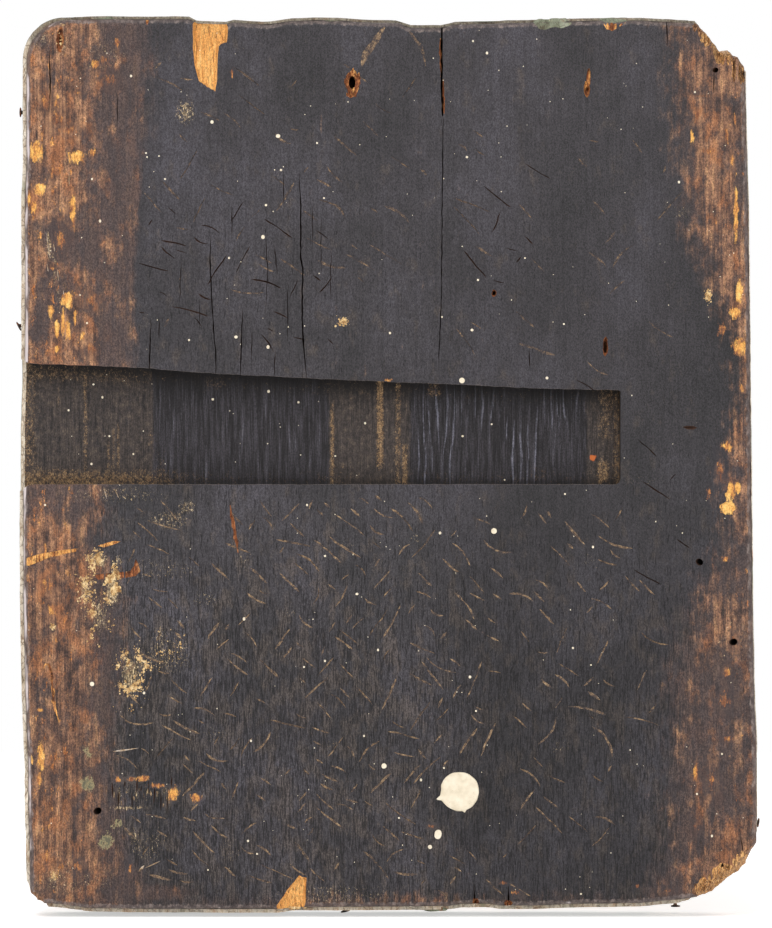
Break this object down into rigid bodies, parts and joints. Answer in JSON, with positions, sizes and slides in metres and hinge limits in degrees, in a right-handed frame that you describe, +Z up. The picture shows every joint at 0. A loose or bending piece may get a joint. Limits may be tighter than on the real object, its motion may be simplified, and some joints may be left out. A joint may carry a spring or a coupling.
{
  "type": "painted icon",
  "caption": "Small painted icon on a single wooden board, its bare dark back cut with a tapered dovetail groove for a lost cross batten, its sunk front painted with a cross.",
  "frame": {"origin": "centre of the panel's bottom edge, halfway through its thickness", "axes": "+X to the right as seen from the bare back, +Y from the bare back to the painted front, +Z up"},
  "size_m": [0.2238, 0.024, 0.2704],
  "materials": {
    "board_wood": "bare lime wood, darkened and worn",
    "linen": "glue-soaked linen",
    "gesso": "matte chalk and glue ground",
    "side_green": "matte tempera",
    "edge_red": "egg tempera under darkened drying-oil varnish",
    "border_ochre": "egg tempera under darkened drying-oil varnish",
    "recess_red": "egg tempera under darkened drying-oil varnish",
    "field_gold_ochre": "egg tempera under darkened drying-oil varnish",
    "cross_brown": "egg tempera under darkened drying-oil varnish",
    "halo_gold": "worn leaf gilding",
    "mound_green": "egg tempera under darkened drying-oil varnish",
    "nail_iron": "rusted wrought iron"
  },
  "bodies": {
    "root": {"wood_panel": "board_wood", "linen_cloth": "linen", "gesso_ground": "gesso", "side_paint": "side_green", "edge_line_paint": "edge_red", "border_paint": "border_ochre", "recess_line_paint": "recess_red", "field_paint": "field_gold_ochre", "cross_paint": "cross_brown", "halo_gilding": "halo_gold", "mound_paint": "mound_green", "edge_nail_left_upper": "nail_iron", "edge_nail_left_middle": "nail_iron", "edge_nail_right_lower": "nail_iron", "edge_nail_bottom_left": "nail_iron", "edge_nail_bottom_right": "nail_iron"}
  },
  "joints": []
}
